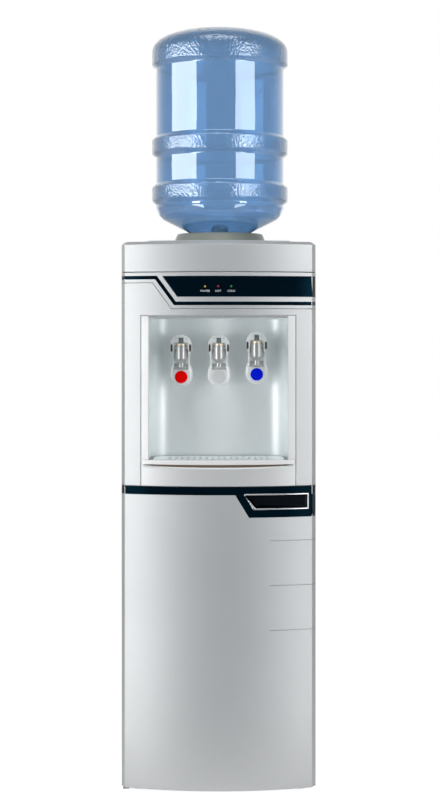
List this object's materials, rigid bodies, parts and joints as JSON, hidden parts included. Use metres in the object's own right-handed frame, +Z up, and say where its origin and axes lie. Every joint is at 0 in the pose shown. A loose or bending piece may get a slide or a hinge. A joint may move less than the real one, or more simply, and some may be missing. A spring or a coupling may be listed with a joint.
{
  "type": "water cooler",
  "caption": "Floor-standing bottled water cooler with push taps over a drip tray, an inverted bottle on top and a storage cabinet below.",
  "frame": {"origin": "centre of the footprint on the floor", "axes": "+Z up, the taps and the door face -Y, +X is the right-hand side seen from the front"},
  "size_m": [0.365, 0.375, 1.4599],
  "materials": {
    "silver_paint": "silver metallic moulded plastic",
    "side_sheet": "grey painted sheet steel",
    "navy_gloss": "glossy navy, almost black",
    "frame_silver": "pale silver plastic",
    "stainless": "satin stainless sheet",
    "tap_chrome": "bright chrome",
    "lever_silver": "silver plastic",
    "stem_grey": "grey plastic",
    "red_disc": "red, glossy",
    "pale_disc": "pale grey, glossy",
    "blue_disc": "blue, glossy",
    "yellow_lens": "clear yellow lens",
    "red_lens": "clear red lens",
    "green_lens": "clear green lens",
    "chrome_trim": "satin chrome trim",
    "dark_plastic": "dark grey plastic",
    "black_plastic": "black plastic",
    "white_plastic": "white plastic",
    "zinc_steel": "zinc-plated steel",
    "black_paint": "black satin paint",
    "pale_foam": "white foam insulation",
    "red_switch": "red rocker switch",
    "green_switch": "green rocker switch",
    "rubber": "black rubber",
    "bottle_blue": "clear blue polycarbonate"
  },
  "bodies": {
    "cabinet": {"base_pan": "zinc_steel", "foot_front_left": "rubber", "foot_front_right": "rubber", "foot_rear_left": "rubber", "foot_rear_right": "rubber", "left_side_panel": "side_sheet", "right_side_panel": "side_sheet", "back_panel": "side_sheet", "tank_shelf": "zinc_steel", "top_cover": "silver_paint", "front_fascia": "silver_paint", "navy_stripe": "navy_gloss", "display_panel": "navy_gloss", "power_lens": "yellow_lens", "hot_lens": "red_lens", "cold_lens": "green_lens", "recess_frame": "frame_silver", "recess_liner": "stainless", "tray_well": "dark_plastic", "hot_tap_body": "tap_chrome", "hot_tap_nut": "zinc_steel", "room_tap_body": "tap_chrome", "room_tap_nut": "zinc_steel", "cold_tap_body": "tap_chrome", "cold_tap_nut": "zinc_steel", "upper_hinge_pin": "zinc_steel", "lower_hinge_pin": "zinc_steel", "cabinet_liner": "white_plastic", "magnetic_catch": "black_plastic", "bottle_collar": "silver_paint", "bottle_seat": "white_plastic", "feed_probe": "white_plastic", "cold_tank": "stainless", "cold_tank_jacket": "pale_foam", "hot_tank": "stainless", "compressor": "black_paint", "condenser_tube": "black_paint", "condenser_wires": "black_paint", "rear_control_plate": "black_plastic", "drain_spout": "white_plastic"},
    "door": {"door_shell": "silver_paint", "door_band": "navy_gloss", "grip_frame": "chrome_trim", "grip_cup": "dark_plastic", "door_inner_panel": "white_plastic"},
    "tray": {"drip_tray": "frame_silver"},
    "grille": {"drip_grille": "stainless"},
    "bottle": {"water_bottle": "bottle_blue"},
    "hot_lever": {"hot_tap_lever": "lever_silver", "hot_tap_disc": "red_disc"},
    "hot_stem": {"hot_tap_stem": "stem_grey"},
    "room_lever": {"room_tap_lever": "lever_silver", "room_tap_disc": "pale_disc"},
    "room_stem": {"room_tap_stem": "stem_grey"},
    "cold_lever": {"cold_tap_lever": "lever_silver", "cold_tap_disc": "blue_disc"},
    "cold_stem": {"cold_tap_stem": "stem_grey"},
    "heating_rocker": {"heating_switch": "red_switch"},
    "cooling_rocker": {"cooling_switch": "green_switch"},
    "drain_stopper": {"drain_cap": "white_plastic"}
  },
  "joints": [
    {"name": "door_hinge", "type": "hinge", "parent": "cabinet", "child": "door", "pos_m": [-0.173, -0.1455, 0.3], "axis": [0, 0, -1], "range_deg": [0, 110]},
    {"name": "tray_lift", "type": "slide", "parent": "cabinet", "child": "tray", "axis": [0, 0, 1], "range_m": [0, 0.06]},
    {"name": "grille_lift", "type": "slide", "parent": "tray", "child": "grille", "axis": [0, 0, 1], "range_m": [0, 0.04]},
    {"name": "bottle_lift", "type": "slide", "parent": "cabinet", "child": "bottle", "axis": [0, 0, 1], "range_m": [0, 0.12]},
    {"name": "hot_lever_push", "type": "hinge", "parent": "cabinet", "child": "hot_lever", "pos_m": [-0.072, -0.1108, 0.835], "axis": [1, 0, 0], "range_deg": [0, 12], "stiffness_Nm_per_rad": 1},
    {"name": "hot_stem_lift", "type": "slide", "parent": "cabinet", "child": "hot_stem", "axis": [0, 0, 1], "range_m": [0, 0.0017]},
    {"name": "room_lever_push", "type": "hinge", "parent": "cabinet", "child": "room_lever", "pos_m": [0, -0.1108, 0.835], "axis": [1, 0, 0], "range_deg": [0, 12], "stiffness_Nm_per_rad": 1},
    {"name": "room_stem_lift", "type": "slide", "parent": "cabinet", "child": "room_stem", "axis": [0, 0, 1], "range_m": [0, 0.0017]},
    {"name": "cold_lever_push", "type": "hinge", "parent": "cabinet", "child": "cold_lever", "pos_m": [0.072, -0.1108, 0.84], "axis": [1, 0, 0], "range_deg": [0, 12], "stiffness_Nm_per_rad": 1},
    {"name": "cold_stem_lift", "type": "slide", "parent": "cabinet", "child": "cold_stem", "axis": [0, 0, 1], "range_m": [0, 0.0017]},
    {"name": "heating_rocker_turn", "type": "hinge", "parent": "cabinet", "child": "heating_rocker", "pos_m": [0.088, 0.1593, 0.255], "axis": [1, 0, 0], "range_deg": [0, 14]},
    {"name": "cooling_rocker_turn", "type": "hinge", "parent": "cabinet", "child": "cooling_rocker", "pos_m": [0.11, 0.1593, 0.255], "axis": [1, 0, 0], "range_deg": [0, 14]},
    {"name": "drain_cap_pull", "type": "slide", "parent": "cabinet", "child": "drain_stopper", "axis": [0, 1, 0], "range_m": [0, 0.02]}
  ],
  "couplings": [
    {"joint": "hot_stem_lift", "follows": "hot_lever_push", "m_per_rad": 0.0078},
    {"joint": "room_stem_lift", "follows": "room_lever_push", "m_per_rad": 0.0078},
    {"joint": "cold_stem_lift", "follows": "cold_lever_push", "m_per_rad": 0.0078}
  ]
}
